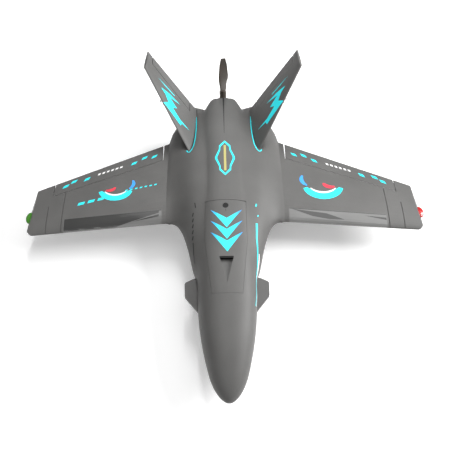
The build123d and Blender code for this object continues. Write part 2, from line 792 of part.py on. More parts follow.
def skid(skin):
    """A hard plate under the belly, shaped to the foam above it, with turned up ends."""
    low, high = SKID_Y
    half, (across, along) = SKID_HALF_WIDTH, SKID_CORNER
    right = [(half - across, low), (half, low + along), (half, high - along), (half - across, high)]
    left = [(-x, y) for x, y in right[::-1]]
    slab = prism(right + left, 0, SKID_BLOCK)
    slab = chamfer(slab.faces().sort_by(Axis.Z)[0].edges(), SKID_CHAMFER)
    return slab - skin


def bay_parts(cavity):
    """Battery, its tray and strap, the equipment shelf, speed controller and receiver."""
    (x, y, z) = BATTERY
    battery = fillet(block(x, y, z).edges().filter_by(Axis.Y), 4.0)
    mid = (y[0] + y[1]) / 2
    width = (mid - STRAP_HALF_WIDTH, mid + STRAP_HALF_WIDTH)
    outer = [(pair[0] - STRAP_THICK, pair[1] + STRAP_THICK) for pair in (x, z)]
    strap = block(outer[0], width, outer[1]) - block(x, y, z)
    tray = (block(*TRAY, (0, TRAY_TOP)) & cavity) - strap
    shelf = block(*SHELF, (SHELF_TOP - SHELF_THICK, SHELF_TOP)) & cavity
    controller = block(*CONTROLLER)
    receiver = block(*RECEIVER)
    return {
        "battery": battery,
        "battery_strap": strap,
        "battery_tray": tray,
        "equipment_shelf": shelf,
        "speed_controller": fillet(controller.edges().filter_by(Axis.Z), 2.0),
        "receiver": fillet(receiver.edges().filter_by(Axis.Z), 2.0),
    }


def motor_parts():
    """Mount plate, base with stator, screws, and the turning bell, shaft, adapter and nut."""
    plate_disc = along_y(MOUNT_Y, MOTOR_BAY_RADIUS - 0.1, 3)
    screws = []
    for turn in range(4):
        angle = math.radians(45 + 90 * turn)
        x, z = SCREW_CIRCLE * math.cos(angle), SHAFT_Z + SCREW_CIRCLE * math.sin(angle)
        shank = along_y(MOUNT_Y - 0.2, 1.5, 5.0, x, z)
        head = along_y(MOUNT_Y - 1.8, 2.7, 1.8, x, z)
        screws.append(shank + head)
    plate_disc = plate_disc - along_y(MOUNT_Y - 1, 4.0, 6)
    base = along_y(MOUNT_Y + 3, 12.8, 2.5) + along_y(MOUNT_Y + 5.5, 5.0, 3.5)
    base = base + along_y(MOUNT_Y + 8, 11.2, 13)
    base = base - along_y(MOUNT_Y, SHAFT_RADIUS + PIN_CLEARANCE, 40)
    for screw in screws:
        plate_disc = plate_disc - screw
        base = base - screw
    bell = along_y(MOUNT_Y + 6.2, MOTOR_RADIUS, 20) - along_y(MOUNT_Y + 5, 12.0, 18.6)
    bell = bell - along_y(MOUNT_Y, SHAFT_RADIUS, 60)
    for turn in range(6):
        angle = math.radians(60 * turn)
        x, z = VENT_CIRCLE * math.cos(angle), SHAFT_Z + VENT_CIRCLE * math.sin(angle)
        bell = bell - along_y(MOUNT_Y + 20, VENT_RADIUS, 10, x, z)
    shaft = along_y(MOUNT_Y + 3.5, SHAFT_RADIUS, SHAFT_LENGTH)
    hub_front = PROP_Y - HUB_LENGTH / 2
    profile = make_face(
        Polyline(
            (0, 0, 0),
            (ADAPTER_RADIUS - 1.5, 0, 0),
            (ADAPTER_RADIUS - 1.5, 6, 0),
            (ADAPTER_RADIUS, 9, 0),
            (ADAPTER_RADIUS, hub_front - ADAPTER_Y, 0),
            (STUD_RADIUS, hub_front - ADAPTER_Y, 0),
            (STUD_RADIUS, TAIL_Y - ADAPTER_Y - 0.6, 0),
            (0, TAIL_Y - ADAPTER_Y - 0.6, 0),
            close=True,
        )
    )
    adapter = Pos(0, ADAPTER_Y, SHAFT_Z) * revolve(profile, Axis.Y)
    adapter = adapter - along_y(MOUNT_Y + 3.5, SHAFT_RADIUS, SHAFT_LENGTH)
    nut_y = PROP_Y + HUB_LENGTH / 2
    nut = extrude(
        Plane(origin=(0, nut_y, SHAFT_Z), z_dir=(0, 1, 0)) * RegularPolygon(NUT_RADIUS, 6),
        amount=TAIL_Y - nut_y,
    )
    nut = nut - along_y(nut_y - 1, STUD_RADIUS, 10)
    return {
        "motor_mount": plate_disc,
        "motor_base": base,
        "motor_screws": Compound(children=screws),
        "motor_bell": bell,
        "motor_shaft": shaft,
        "propeller_adapter": adapter,
        "propeller_nut": nut,
    }


def blade_section(radius, chord, thick):
    """A thin foil across the blade, twisted to the propeller's pitch."""
    pitch = math.atan2(PROP_PITCH, 2 * math.pi * max(radius, ROOT_TWIST_RADIUS))
    c, s = math.cos(pitch), math.sin(pitch)

    def place(along, across):
        along -= chord * BLADE_AXIS
        x, y = along * c - across * s, along * s + across * c
        return (x, PROP_Y + y * BLADE_FLATNESS, SHAFT_Z + radius)

    return foil_section(foil_outline(chord, thick, BLADE_EDGE, camber=BLADE_CAMBER), place)


def propeller():
    blade = loft([blade_section(*row) for row in BLADE])
    turned = blade.rotate(Axis((0, PROP_Y, SHAFT_Z), (0, 1, 0)), 180)
    hub = along_y(PROP_Y - HUB_LENGTH / 2, HUB_RADIUS, HUB_LENGTH)
    whole = hub + blade + turned
    keep = along_y(PROP_Y - HUB_LENGTH / 2, PROP_RADIUS + 5, HUB_LENGTH)
    return (whole & keep) - along_y(PROP_Y - 20, STUD_RADIUS, 40)


def magnets():
    """Disc magnets that hold the hatch's rear corners: a pair in the hatch and a pair in the rim."""
    upper, lower = [], []
    for x in (-MAGNET_X, MAGNET_X):
        place = Plane(origin=(x, HATCH_Y[1] - HATCH_GAP, MAGNET_Z), z_dir=(0, -1, 0))
        upper.append(Solid.make_cylinder(*MAGNET_SIZE, place))
        place = Plane(origin=(x, HATCH_Y[1], MAGNET_Z), z_dir=(0, 1, 0))
        lower.append(Solid.make_cylinder(*MAGNET_SIZE, place))
    return upper, lower


def tip_board():
    """The small lamp board behind each tip light."""
    outer = LIGHT_X - LIGHT_SIZE[0] - 1.5
    return block((outer - 2, outer), (LIGHT_Y - 8, LIGHT_Y + 8), (WING_Z - 2.5, WING_Z + 2.5))


def main():
    os.makedirs("parts", exist_ok=True)
    body, hatch, skin, cavity = body_parts()
    wing, aileron, guard, light = wing_parts()
    fin, rudder, fin_blank = fin_parts()
    foreplane = canard()
    main_spar, rear_spar = spars()
    board = tip_board()
    wing = wing - spar_holes() - board
    motor = motor_parts()
    for piece in (fin_blank, mirrored(fin_blank), foreplane, mirrored(foreplane), motor["motor_screws"]):
        body = body - piece
    hatch_magnets, rim_magnets = magnets()
    for piece in rim_magnets:
        body = body - piece
    for piece in hatch_magnets:
        hatch = hatch - piece
    half = block((0, 500), (-500, 500), (-50, 400))
    save("fuselage_half_port", body & half)
    save("fuselage_half_starboard", body & mirrored(half))
    save("hatch", hatch)
    save("hatch_magnets", Compound(children=hatch_magnets))
    save("rim_magnets", Compound(children=rim_magnets))
    knob, cam = latch_parts()
    save("latch_knob", knob)
    save("latch_cam", cam)
    save("belly_skid", skid(skin))
    save("main_spar", main_spar)
    save("rear_spar", rear_spar)
    save_pair("canard", foreplane - cavity)
    save_pair("wing", wing)
    save_pair("leading_edge_guard", guard)
    save_pair("aileron", aileron)
    save_pair("tip_light", light)
    save_pair("tip_light_board", board)
    save_pair("fin", fin)
    save_pair("ruddervator", rudder)
    for name, hinge, place in (
        ("aileron", aileron_hinge(), AILERON_LINK),
        ("ruddervator", rudder_hinge(), RUDDER_LINK),
    ):
        save_pair(f"{name}_servo", servo(hinge, place))
        save_pair(f"{name}_servo_arm", servo_arm(hinge, place))
        save_pair(f"{name}_pushrod", pushrod(hinge, place))
        save_pair(f"{name}_horn", control_horn(hinge, place))
    for name, shape in {**bay_parts(cavity), **motor}.items():
        save(name, shape)
    save("propeller", propeller())


main()
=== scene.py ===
import bpy
import bmesh
import json
import math
import numpy as np
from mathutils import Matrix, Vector
from mathutils.bvhtree import BVHTree


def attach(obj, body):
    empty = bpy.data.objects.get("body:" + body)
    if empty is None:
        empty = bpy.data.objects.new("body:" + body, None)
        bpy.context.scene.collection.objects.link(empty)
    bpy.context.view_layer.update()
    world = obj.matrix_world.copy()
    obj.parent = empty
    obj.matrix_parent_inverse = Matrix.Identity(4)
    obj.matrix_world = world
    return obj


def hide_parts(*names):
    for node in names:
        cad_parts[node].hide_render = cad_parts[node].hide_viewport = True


# Foam radio-controlled aeroplane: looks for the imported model. Metres, nose towards -Y, port towards +X.
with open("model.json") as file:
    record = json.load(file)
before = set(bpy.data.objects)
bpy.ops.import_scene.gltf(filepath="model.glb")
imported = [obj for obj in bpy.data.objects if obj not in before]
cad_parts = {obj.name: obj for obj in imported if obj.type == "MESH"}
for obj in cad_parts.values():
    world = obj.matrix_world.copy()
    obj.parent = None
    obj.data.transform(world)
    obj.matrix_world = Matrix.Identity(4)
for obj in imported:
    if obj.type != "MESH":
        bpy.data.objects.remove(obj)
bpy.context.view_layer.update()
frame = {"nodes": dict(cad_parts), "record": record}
MM = 0.001
SIDES = (("port", 1), ("starboard", -1))

# The camera is ahead of the nose and slightly to starboard, 60 degrees above the horizon.
CAMERA_PLACE = (-0.0118, -0.5708, 1.0766)
CAMERA_TARGET = (-0.0014, 0.0012, 0.0857)
CAMERA_LENS = 42.8
CAMERA_SENSOR = 36.0
FLOOR_REACH = 8.0
FLOOR_GLOW = 0.25
WORLD_STRENGTH = 0.30
LIGHT_TARGET = (0, 0, 0.08)
LIGHTS = (  # name, place, target, size and power
    ("key", (1.7, 0.25, 1.25), LIGHT_TARGET, (1.0, 1.0), 58),
    ("fill", (-1.0, -1.6, 1.8), LIGHT_TARGET, (1.6, 1.6), 6),
    ("top", (0.5, 0.3, 2.4), LIGHT_TARGET, (1.8, 1.8), 16),
    ("spine", (0.02, 1.15, 1.75), (0, 0.05, 0.12), (0.12, 0.9), 16),
)

# Foam mouldings, in metres.
EDGE_ANGLE = 38  # edges sharper than this stay crisp
FUSELAGE_VOXEL = 0.0018
WING_ROOT_X = 0.128  # the fuselage moulding ends here and the wing panel starts
BLEND_X = (0.050, 0.108)
BLEND_Y = (-0.150, 0.285)
HATCH_HALF_PLAN = ((0.030, -0.172), (0.043, -0.060), (0.043, 0.034))
HATCH_CUT_Z = (0.088, 0.170)

# The fin's plane, in millimetres: middle of the root chord, offset to the tip, and toe-in in degrees.
FIN_ROOT = (74.5, 242.0, 115.0)
FIN_TIP_OFFSET = (95.1, 98.0, 120.0)
FIN_TOE = 4.8


# ---- camera, lights and floor ----
def aim(obj, target):
    obj.rotation_euler = (Vector(target) - obj.location).to_track_quat("-Z", "Y").to_euler()


def add_camera():
    data = bpy.data.cameras.new("camera")
    data.lens = CAMERA_LENS
    data.sensor_width = CAMERA_SENSOR
    data.clip_end = 30
    obj = bpy.data.objects.new("camera", data)
    bpy.context.scene.collection.objects.link(obj)
    obj.location = CAMERA_PLACE
    aim(obj, CAMERA_TARGET)
    bpy.context.scene.camera = obj


def area_light(name, place, target, size, power):
    data = bpy.data.lights.new(name, "AREA")
    data.shape = "RECTANGLE"
    data.size, data.size_y = size
    data.energy = power
    obj = bpy.data.objects.new(name, data)
    bpy.context.scene.collection.objects.link(obj)
    obj.location = place
    aim(obj, target)


def add_floor():
    mesh = bpy.data.meshes.new("floor")
    r = FLOOR_REACH
    mesh.from_pydata([(-r, -r, 0), (r, -r, 0), (r, r, 0), (-r, r, 0)], [], [(0, 1, 2, 3)])
    obj = bpy.data.objects.new("floor", mesh)
    bpy.context.scene.collection.objects.link(obj)
    mat, _, _, shader = new_material("floor_white")
    shader.inputs["Base Color"].default_value = (0.93, 0.93, 0.93, 1)
    shader.inputs["Roughness"].default_value = 0.9
    shader.inputs["Emission Color"].default_value = (1, 1, 1, 1)
    shader.inputs["Emission Strength"].default_value = FLOOR_GLOW
    obj.data.materials.append(mat)


# ---- materials ----
def new_material(name):
    mat = bpy.data.materials.new(name)
    mat.use_nodes = True
    nodes, links = mat.node_tree.nodes, mat.node_tree.links
    return mat, nodes, links, nodes["Principled BSDF"]


def texture(nodes, kind, scale, detail=2.0):
    node = nodes.new(kind)
    node.inputs["Scale"].default_value = scale
    if "Detail" in node.inputs:
        node.inputs["Detail"].default_value = detail
    return node


def ramp(nodes, links, source, stops):
    node = nodes.new("ShaderNodeValToRGB")
    band = node.color_ramp
    while len(band.elements) < len(stops):
        band.elements.new(0.5)
    for element, (place, colour) in zip(band.elements, stops):
        element.position = place
        element.color = (*colour, 1)
    links.new(source, node.inputs["Fac"])
    return node.outputs["Color"]


def bump(nodes, links, shader, height, strength, distance, after=None):
    node = nodes.new("ShaderNodeBump")
    node.inputs["Strength"].default_value = strength
    node.inputs["Distance"].default_value = distance
    links.new(height, node.inputs["Height"])
    if after is not None:
        links.new(after, node.inputs["Normal"])
    links.new(node.outputs["Normal"], shader.inputs["Normal"])
    return node.outputs["Normal"]


def object_coordinates(nodes):
    return nodes.new("ShaderNodeTexCoord").outputs["Object"]


def foam_material(name, grey):
    """Moulded bead foam: flattened beads under a fine matt skin, with faint patches of tone."""
    mat, nodes, links, shader = new_material(name)
    place = object_coordinates(nodes)
    beads = texture(nodes, "ShaderNodeTexVoronoi", 420)
    beads.feature = "DISTANCE_TO_EDGE"
    grain = texture(nodes, "ShaderNodeTexNoise", 2600, 3)
    patch = texture(nodes, "ShaderNodeTexNoise", 14, 3)
    for node in (beads, grain, patch):
        links.new(place, node.inputs["Vector"])
    low, high = [g * 0.93 for g in grey], [g * 1.06 for g in grey]
    tone = ramp(nodes, links, patch.outputs["Fac"], ((0.35, low), (0.65, high)))
    speck = ramp(nodes, links, grain.outputs["Fac"], ((0.35, (0.80,) * 3), (0.65, (1.0,) * 3)))
    mix = nodes.new("ShaderNodeMix")
    mix.data_type = "RGBA"
    mix.blend_type = "MULTIPLY"
    mix.inputs["Factor"].default_value = 0.55
    links.new(tone, mix.inputs["A"])
    links.new(speck, mix.inputs["B"])
    links.new(mix.outputs["Result"], shader.inputs["Base Color"])
    edge = nodes.new("ShaderNodeMapRange")
    edge.inputs["From Max"].default_value = 0.12
    links.new(beads.outputs["Distance"], edge.inputs["Value"])
    first = bump(nodes, links, shader, edge.outputs["Result"], 0.22, 0.0003)
    bump(nodes, links, shader, grain.outputs["Fac"], 0.30, 0.00035, after=first)
    rough = nodes.new("ShaderNodeMapRange")
    rough.inputs["To Min"].default_value = 0.44
    rough.inputs["To Max"].default_value = 0.60
    links.new(grain.outputs["Fac"], rough.inputs["Value"])
    links.new(rough.outputs["Result"], shader.inputs["Roughness"])
    shader.inputs["Specular IOR Level"].default_value = 0.45
    return mat


def solid_material(name, colour, roughness, metallic=0.0, coat=0.0, grain=900, depth=0.00005, spread=0.08):
    """A moulded, painted or machined finish with fine grain and a little variation in tone and gloss."""
    mat, nodes, links, shader = new_material(name)
    place = object_coordinates(nodes)
    fine = texture(nodes, "ShaderNodeTexNoise", grain, 3)
    broad = texture(nodes, "ShaderNodeTexNoise", grain / 30, 3)
    links.new(place, fine.inputs["Vector"])
    links.new(place, broad.inputs["Vector"])
    low, high = [c * (1 - spread) for c in colour], [min(1, c * (1 + spread)) for c in colour]
    tone = ramp(nodes, links, broad.outputs["Fac"], ((0.35, low), (0.65, high)))
    links.new(tone, shader.inputs["Base Color"])
    rough = nodes.new("ShaderNodeMapRange")
    rough.inputs["To Min"].default_value = max(0.02, roughness - 0.06)
    rough.inputs["To Max"].default_value = min(1.0, roughness + 0.08)
    links.new(fine.outputs["Fac"], rough.inputs["Value"])
    links.new(rough.outputs["Result"], shader.inputs["Roughness"])
    bump(nodes, links, shader, fine.outputs["Fac"], 0.15, depth)
    shader.inputs["Metallic"].default_value = metallic
    shader.inputs["Coat Weight"].default_value = coat
    shader.inputs["Coat Roughness"].default_value = 0.08
    return mat


def turned_material(name, colour, roughness, scale=900):
    """Metal with fine turning rings round the propeller's axis."""
    mat, nodes, links, shader = new_material(name)
    place = object_coordinates(nodes)
    wave = texture(nodes, "ShaderNodeTexWave", scale, 1)
    wave.bands_direction = "Y"
    wave.inputs["Distortion"].default_value = 0.6
    links.new(place, wave.inputs["Vector"])
    low = [c * 0.86 for c in colour]
    rings = ramp(nodes, links, wave.outputs["Fac"], ((0.0, low), (1.0, colour)))
    links.new(rings, shader.inputs["Base Color"])
    shader.inputs["Metallic"].default_value = 1.0
    shader.inputs["Roughness"].default_value = roughness
    bump(nodes, links, shader, wave.outputs["Fac"], 0.1, 0.00004)
    return mat


def woven_material(name, colour, scale):
    mat, nodes, links, shader = new_material(name)
    place = object_coordinates(nodes)
    checks = texture(nodes, "ShaderNodeTexChecker", scale)
    checks.inputs["Color1"].default_value = (*[c * 0.6 for c in colour], 1)
    checks.inputs["Color2"].default_value = (*colour, 1)
    links.new(place, checks.inputs["Vector"])
    links.new(checks.outputs["Color"], shader.inputs["Base Color"])
    shader.inputs["Roughness"].default_value = 0.85
    bump(nodes, links, shader, checks.outputs["Fac"], 0.4, 0.0003)
    return mat


def wood_material(name):
    mat, nodes, links, shader = new_material(name)
    place = object_coordinates(nodes)
    wave = texture(nodes, "ShaderNodeTexWave", 90, 3)
    wave.inputs["Distortion"].default_value = 5
    links.new(place, wave.inputs["Vector"])
    tone = ramp(nodes, links, wave.outputs["Fac"], ((0.0, (0.42, 0.27, 0.13)), (1.0, (0.60, 0.43, 0.25))))
    links.new(tone, shader.inputs["Base Color"])
    shader.inputs["Roughness"].default_value = 0.7
    bump(nodes, links, shader, wave.outputs["Fac"], 0.2, 0.0002)
    return mat


def lens_material(name, colour):
    """Tinted clear plastic over a lamp: saturated body colour under a glossy skin, with prism ribs."""
    mat, nodes, links, shader = new_material(name)
    place = object_coordinates(nodes)
    ribs = texture(nodes, "ShaderNodeTexWave", 260, 0)
    ribs.bands_direction = "Y"
    links.new(place, ribs.inputs["Vector"])
    dark = [c * 0.45 for c in colour]
    tint = ramp(nodes, links, ribs.outputs["Fac"], ((0.0, dark), (1.0, colour)))
    links.new(tint, shader.inputs["Base Color"])
    bump(nodes, links, shader, ribs.outputs["Fac"], 0.12, 0.0002)
    shader.inputs["Roughness"].default_value = 0.12
    shader.inputs["Transmission Weight"].default_value = 0.35
    shader.inputs["Coat Weight"].default_value = 0.6
    return mat


def print_and_painted_shade_film(name, colour, far=None, direction="X", span=1.0):
    """Printed film, also used dark for painted shade; with a far colour it fades from the middle line out to
    the tips.
    """
    mat, nodes, links, shader = new_material(name)
    place = object_coordinates(nodes)
    fine = texture(nodes, "ShaderNodeTexNoise", 1800, 3)
    links.new(place, fine.inputs["Vector"])
    if far is None:
        low = [c * 0.93 for c in colour]
        ink = ramp(nodes, links, fine.outputs["Fac"], ((0.4, low), (0.6, colour)))
        links.new(ink, shader.inputs["Base Color"])
    else:
        split = nodes.new("ShaderNodeSeparateXYZ")
        links.new(place, split.inputs["Vector"])
        size = nodes.new("ShaderNodeMath")
        size.operation = "ABSOLUTE"
        links.new(split.outputs[direction], size.inputs[0])
        reach = nodes.new("ShaderNodeMapRange")
        reach.inputs["From Max"].default_value = span
        links.new(size.outputs["Value"], reach.inputs["Value"])
        fade = ramp(nodes, links, reach.outputs["Result"], ((0.3, colour), (0.95, far)))
        links.new(fade, shader.inputs["Base Color"])
    bump(nodes, links, shader, fine.outputs["Fac"], 0.2, 0.0002)
    shader.inputs["Roughness"].default_value = 0.42
    shader.inputs["Specular IOR Level"].default_value = 0.25
    return mat


GREY = (0.100, 0.0985, 0.0955)
CYAN = (0.035, 0.86, 0.95)
BLUE = (0.06, 0.36, 0.92)

FOAM = foam_material("foam_grey", GREY)
FINISH = {
    "foam_grey": FOAM,
    "guard_plastic": solid_material(
        "guard_gloss", (0.150, 0.150, 0.147), 0.2, coat=0.7, grain=300, depth=0.00002
    ),
    "lens_red": lens_material("lens_red", (0.75, 0.03, 0.03)),
    "lens_green": lens_material("lens_green", (0.10, 0.42, 0.03)),
    "lamp_board": solid_material("board_green", (0.02, 0.16, 0.05), 0.5),
    "prop_plastic": solid_material("prop_nylon", (0.085, 0.070, 0.058), 0.38, grain=700, depth=0.00004),
    "carbon": woven_material("carbon_tube", (0.03, 0.03, 0.03), 700),
    "aluminium": turned_material("aluminium_turned", (0.75, 0.75, 0.77), 0.28),
    "steel": turned_material("steel_plain", (0.55, 0.55, 0.56), 0.35),
    "bell_metal": turned_material("bell_anodised", (0.10, 0.085, 0.072), 0.5),
    "servo_plastic": solid_material("servo_black", (0.02, 0.02, 0.022), 0.45),
    "arm_plastic": solid_material("arm_white", (0.72, 0.72, 0.70), 0.5),
    "black_plastic": solid_material("plastic_black", (0.010, 0.010, 0.010), 0.75),
    "battery_wrap": solid_material("battery_wrap", (0.02, 0.06, 0.28), 0.22, coat=0.5),
    "webbing": woven_material("strap_weave", (0.03, 0.03, 0.03), 900),
    "plywood": wood_material("plywood"),
    "wire": turned_material("wire_steel", (0.5, 0.5, 0.52), 0.3),
    "skid_plastic": solid_material("skid_black", (0.03, 0.03, 0.03), 0.55),
    "magnet_metal": turned_material("magnet_plated", (0.7, 0.7, 0.7), 0.2),
}


def dress_cad():
    for row in frame["record"]["subparts"]:
        obj = frame["nodes"][row["node"]]
        soften(obj, EDGE_ANGLE)
        mat = FINISH[row["material_slot"]]
        if not obj.data.materials:
            obj.data.materials.append(mat)
        for slot in obj.material_slots:
            slot.material = mat


# ---- foam mouldings: the CAD halves joined, with softened edges ----
def mesh_arrays(names):
    verts, faces = [], []
    for name in names:
        data = frame["nodes"][name].data
        start = len(verts)
        verts += [v.co.copy() for v in data.vertices]
        faces += [[start + i for i in p.vertices] for p in data.polygons]
    return verts, faces


def new_object(name, verts, faces, material):
    mesh = bpy.data.meshes.new(name)
    mesh.from_pydata(verts, [], faces)
    mesh.update()
    obj = bpy.data.objects.new(name, mesh)
    bpy.context.scene.collection.objects.link(obj)
    mesh.materials.append(material)
    return obj


def apply_modifiers(obj):
    graph = bpy.context.evaluated_depsgraph_get()
    mesh = bpy.data.meshes.new_from_object(obj.evaluated_get(graph))
    obj.modifiers.clear()
    old = obj.data
    obj.data = mesh
    mesh.name = obj.name
    bpy.data.meshes.remove(old)


def remeshed(name, nodes, voxel):
    obj = new_object(name, *mesh_arrays(nodes), FOAM)
    mod = obj.modifiers.new("remesh", "REMESH")
    mod.mode = "VOXEL"
    mod.voxel_size = voxel
    mod.use_smooth_shade = True
    apply_modifiers(obj)
    return obj


def relax(obj, weight_of, rounds):
    """Laplacian smoothing, weighted by a function of place."""
    bm = bmesh.new()
    bm.from_mesh(obj.data)
    bm.verts.ensure_lookup_table()
    count = len(bm.verts)
    edges = np.array([[e.verts[0].index, e.verts[1].index] for e in bm.edges])
    bm.free()
    co = np.empty(count * 3)
    obj.data.vertices.foreach_get("co", co)
    co = co.reshape(-1, 3)
    weight = np.clip(weight_of(co), 0, 1)[:, None]
    degree = np.bincount(edges.ravel(), minlength=count)[:, None].astype(float)
    for _ in range(rounds):
        total = np.empty_like(co)
        for axis in range(3):
            ahead = np.bincount(edges[:, 0], co[edges[:, 1], axis], count)
            behind = np.bincount(edges[:, 1], co[edges[:, 0], axis], count)
            total[:, axis] = ahead + behind
        co += (total / degree - co) * weight * 0.6
    obj.data.vertices.foreach_set("co", co.ravel())
    obj.data.update()


def near(values, low, high, soft):
    """1 between low and high, falling to 0 over the soft distance outside."""
    gap = np.maximum(low - values, values - high)
    return 1 - np.clip(gap / soft, 0, 1)


def hatch_opening():
    """The hatch's opening in plan, as a tall prism."""
    plan = [(-x, y) for x, y in HATCH_HALF_PLAN[::-1]] + list(HATCH_HALF_PLAN)
    count = len(plan)
    verts = [(x, y, z) for z in HATCH_CUT_Z for x, y in plan]
    faces = [list(range(count))[::-1], list(range(count, 2 * count))]
    for i in range(count):
        j = (i + 1) % count
        faces.append([i, j, count + j, count + i])
    return new_object("opening_cutter", verts, faces, FOAM)


def cut(obj, cutter):
    mod = obj.modifiers.new("cut", "BOOLEAN")
    mod.operation = "DIFFERENCE"
    mod.solver = "EXACT"
    mod.object = cutter
    apply_modifiers(obj)
    bpy.data.objects.remove(cutter)


def trim_side(obj, x, outwards):
    """Cuts off everything outside a plane at x and closes the cut."""
    bm = bmesh.new()
    bm.from_mesh(obj.data)
    geometry = bm.verts[:] + bm.edges[:] + bm.faces[:]
    done = bmesh.ops.bisect_plane(
        bm, geom=geometry, plane_co=(x, 0, 0), plane_no=(outwards, 0, 0), clear_outer=True, dist=1e-6
    )
    rim = [g for g in done["geom_cut"] if isinstance(g, bmesh.types.BMEdge)]
    bmesh.ops.holes_fill(bm, edges=rim, sides=0)
    bm.to_mesh(obj.data)
    bm.free()


def fuselage():
    """Both glued halves as one moulding: creases softened, then trimmed at the wing roots and the hatch."""
    halves = ("fuselage_half_port", "fuselage_half_starboard")
    obj = remeshed("fuselage", halves + ("hatch", "wing_port", "wing_starboard"), FUSELAGE_VOXEL)

    def blend_zone(co):
        x, y = np.abs(co[:, 0]), co[:, 1]
        return near(x, *BLEND_X, 0.012) * near(y, *BLEND_Y, 0.015)

    relax(obj, blend_zone, 160)
    relax(obj, lambda co: near(np.abs(co[:, 0]), 0, 0.112, 0.01) * 0.8, 2)
    trim_side(obj, WING_ROOT_X, 1)
    trim_side(obj, -WING_ROOT_X, -1)
    cut(obj, hatch_opening())
    soften(obj, EDGE_ANGLE)
    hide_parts(*halves)
    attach(obj, "airframe")
    return obj


def soften(obj, degrees):
    """Smooth shading, with edges sharper than an angle kept crisp."""
    for poly in obj.data.polygons:
        poly.use_smooth = True
    obj.data.set_sharp_from_angle(angle=math.radians(degrees))


def inlet_painted_shade():
    """Painted shade: thin black sheets lining the inlet's mouth (back, roof, floor and sides), standing for
    the shade inside as seen through the slot.
    """
    half, front, back = 0.0143, -0.0985, -0.0742
    bottom, low, high = 0.100, 0.1212, 0.1296
    mid = -0.0880
    verts, faces = [], []

    def sheet(corners):
        start = len(verts)
        verts.extend(corners)
        faces.append([start, start + 1, start + 2, start + 3])

    sheet([(-half, back, bottom), (half, back, bottom), (half, back, high), (-half, back, high)])
    sheet([(-half, front, high), (half, front, high), (half, back, high), (-half, back, high)])
    sheet([(-half, front, low), (half, front, low), (half, mid, low), (-half, mid, low)])
    for x in (-half, half):
        sheet([(x, front, low), (x, back, low), (x, back, high), (x, front, high)])
    obj = new_object("inlet_painted_shade", verts, faces, FINISH["black_plastic"])
    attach(obj, "hatch")


# ---- printed marks, painted shade and painted reflections: thin films laid on the skins ----
def surface(objects):
    verts, faces = [], []
    for obj in objects:
        start = len(verts)
        verts += [v.co.copy() for v in obj.data.vertices]
        faces += [[start + i for i in p.vertices] for p in obj.data.polygons]
    return BVHTree.FromPolygons(verts, faces)


class Plan:
    """Maps plan millimetres straight down on to a skin."""

    def __init__(self, skin, lift=0.25):
        self.skin = skin
        self.lift = lift

    def place(self, a, b):
        hit, normal, _, _ = self.skin.ray_cast(Vector((a * MM, b * MM, 0.4)), Vector((0, 0, -1)))
        return None if hit is None else hit + normal * self.lift * MM


class Flank:
    """Maps (along the body, height) millimetres in from the port side on to a skin."""

    def __init__(self, skin, lift=0.3):
        self.skin = skin
        self.lift = lift

    def place(self, a, b):
        start = Vector((0.2, a * MM, b * MM))
        hit, normal, _, _ = self.skin.ray_cast(start, Vector((-1, 0, 0)), 0.2)
        return None if hit is None else hit + normal * self.lift * MM


class FinSide:
    """Maps fin millimetres (along the chord, up the span) on to its inner face."""

    def __init__(self, skin, side, lift=0.25):
        toe = math.radians(FIN_TOE)
        chord = Vector((-math.sin(toe), math.cos(toe), 0))
        offset = Vector(FIN_TIP_OFFSET)
        span = (offset - chord * offset.dot(chord)).normalized()
        out = chord.cross(span)
        self.flip = Vector((side, 1, 1))
        self.root = Vector(FIN_ROOT)
        self.chord, self.span, self.out = chord, span, out
        self.skin = skin
        self.lift = lift

    def place(self, a, b):
        base = self.root + self.chord * a + self.span * b
        start = (base - self.out * 40) * self.flip * MM
        ray = Vector(self.out * self.flip)
        hit, normal, _, _ = self.skin.ray_cast(start, ray, 0.08)
        return None if hit is None else hit + normal * self.lift * MM


def film(name, outlines, onto, material, body, step=3.0):
    """A film cut to flat outlines, divided finely and laid on a surface."""
    bm = bmesh.new()
    for outline in outlines:
        bm.faces.new([bm.verts.new((a, b, 0)) for a, b in outline])
    bmesh.ops.triangulate(bm, faces=bm.faces)
    spots = [v.co.copy() for v in bm.verts]
    for axis in (0, 1):
        low = min(s[axis] for s in spots)
        high = max(s[axis] for s in spots)
        normal = Vector((1, 0, 0)) if axis == 0 else Vector((0, 1, 0))
        at = low + step
        while at < high:
            geometry = bm.verts[:] + bm.edges[:] + bm.faces[:]
            bmesh.ops.bisect_plane(bm, geom=geometry, plane_co=normal * at, plane_no=normal)
            at += step
    lost = []
    for v in bm.verts:
        spot = onto.place(v.co.x, v.co.y)
        if spot is None:
            lost.append(v)
        else:
            v.co = spot
    bmesh.ops.delete(bm, geom=lost, context="VERTS")
    bmesh.ops.recalc_face_normals(bm, faces=bm.faces)
    mesh = bpy.data.meshes.new(name)
    bm.to_mesh(mesh)
    bm.free()
    obj = bpy.data.objects.new(name, mesh)
    bpy.context.scene.collection.objects.link(obj)
    mesh.materials.append(material)
    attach(obj, body)
    return obj


def ribbon(points, widths):
    """Quads along a line of points with a width at each."""
    left, right = [], []
    for i, (a, b) in enumerate(points):
        before, after = points[max(i - 1, 0)], points[min(i + 1, len(points) - 1)]
        run = Vector((after[0] - before[0], after[1] - before[1])).normalized()
        half = widths[min(i, len(widths) - 1)] / 2
        left.append((a - run.y * half, b + run.x * half))
        right.append((a + run.y * half, b - run.x * half))
    return [[left[i], right[i], right[i + 1], left[i + 1]] for i in range(len(points) - 1)]


def flipped(outlines, side):
    return [[(a * side, b) for a, b in outline] for outline in outlines]


def slanted(a, b, length, width, lean, turn):
    """A parallelogram centred on (a, b), turned by an angle in degrees."""
    c, s = math.cos(math.radians(turn)), math.sin(math.radians(turn))
    corners = ((-length / 2 - lean, -width / 2), (length / 2 - lean, -width / 2),
               (length / 2 + lean, width / 2), (-length / 2 + lean, width / 2))
    return [(a + p * c - q * s, b + p * s + q * c) for p, q in corners]
